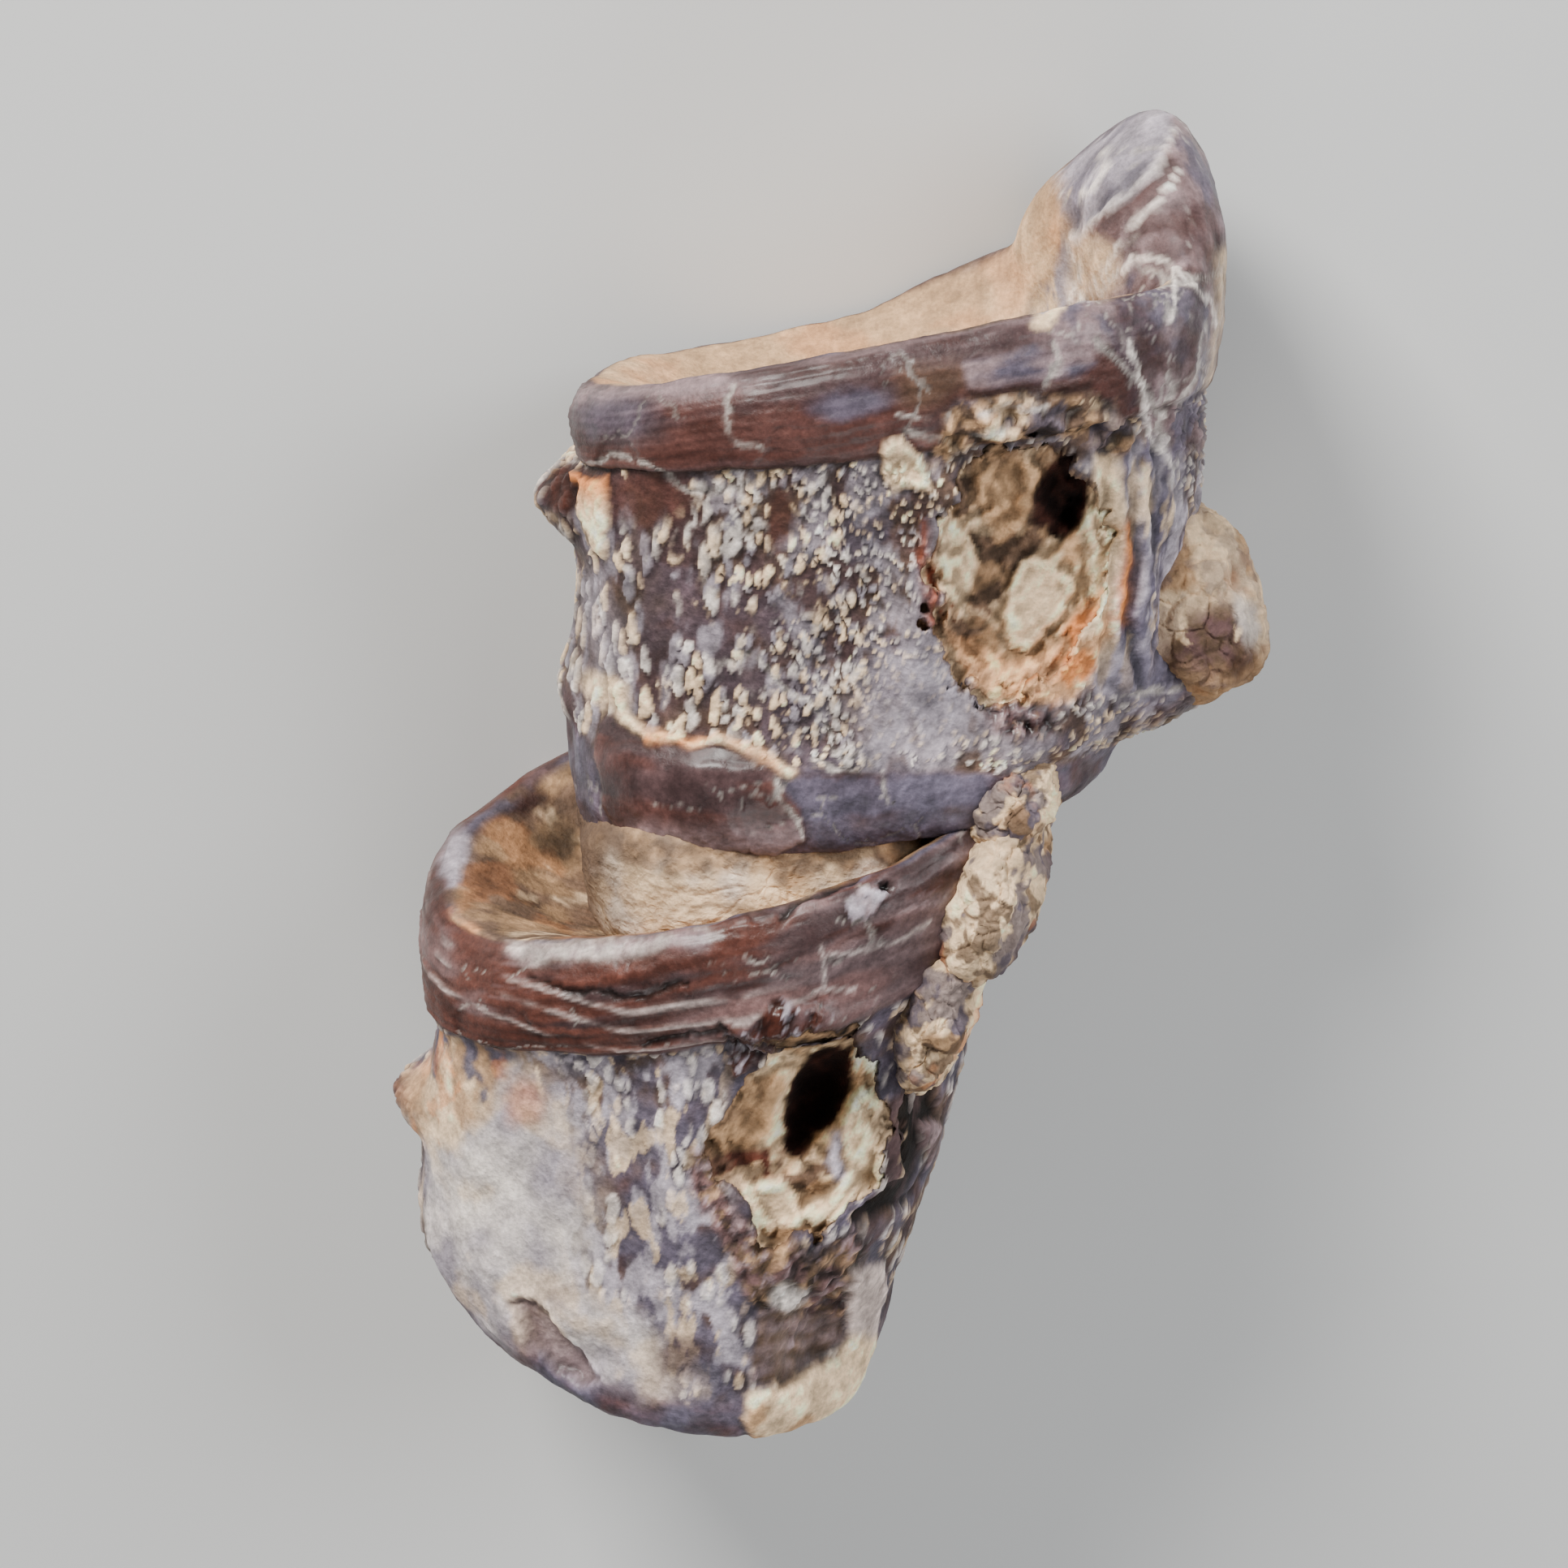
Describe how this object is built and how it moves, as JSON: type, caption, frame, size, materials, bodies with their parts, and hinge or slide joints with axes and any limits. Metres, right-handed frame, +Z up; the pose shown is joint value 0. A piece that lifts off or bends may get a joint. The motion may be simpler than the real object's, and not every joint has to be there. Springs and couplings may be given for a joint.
{
  "type": "fossil xiphactinus vertebra, a joined pair",
  "caption": "Joined spool-shaped fish backbone discs, fossilised dark brown and grey, with hollow ends, side pits and tan chalk between and in them.",
  "frame": {"origin": "on the resting surface, under the middle of the object's box", "axes": "+Y along the backbone towards the end with the upturned horn, +Z up and away from the resting side, +X to the right when looking down with +Y ahead"},
  "size_m": [0.0702, 0.1032, 0.0406],
  "materials": {
    "bone": "fossilised bone, satin to glossy on the end bands and rough between them",
    "chalk": "matte, crumbly chalk"
  },
  "bodies": {
    "root": {"upper_vertebra": "bone", "lower_vertebra": "bone", "upper_cup_chalk": "chalk", "joint_chalk": "chalk", "edge_chalk": "chalk", "side_chalk": "chalk", "upper_pit_chalk": "chalk", "lower_pit_chalk": "chalk", "end_chalk": "chalk"}
  },
  "joints": []
}
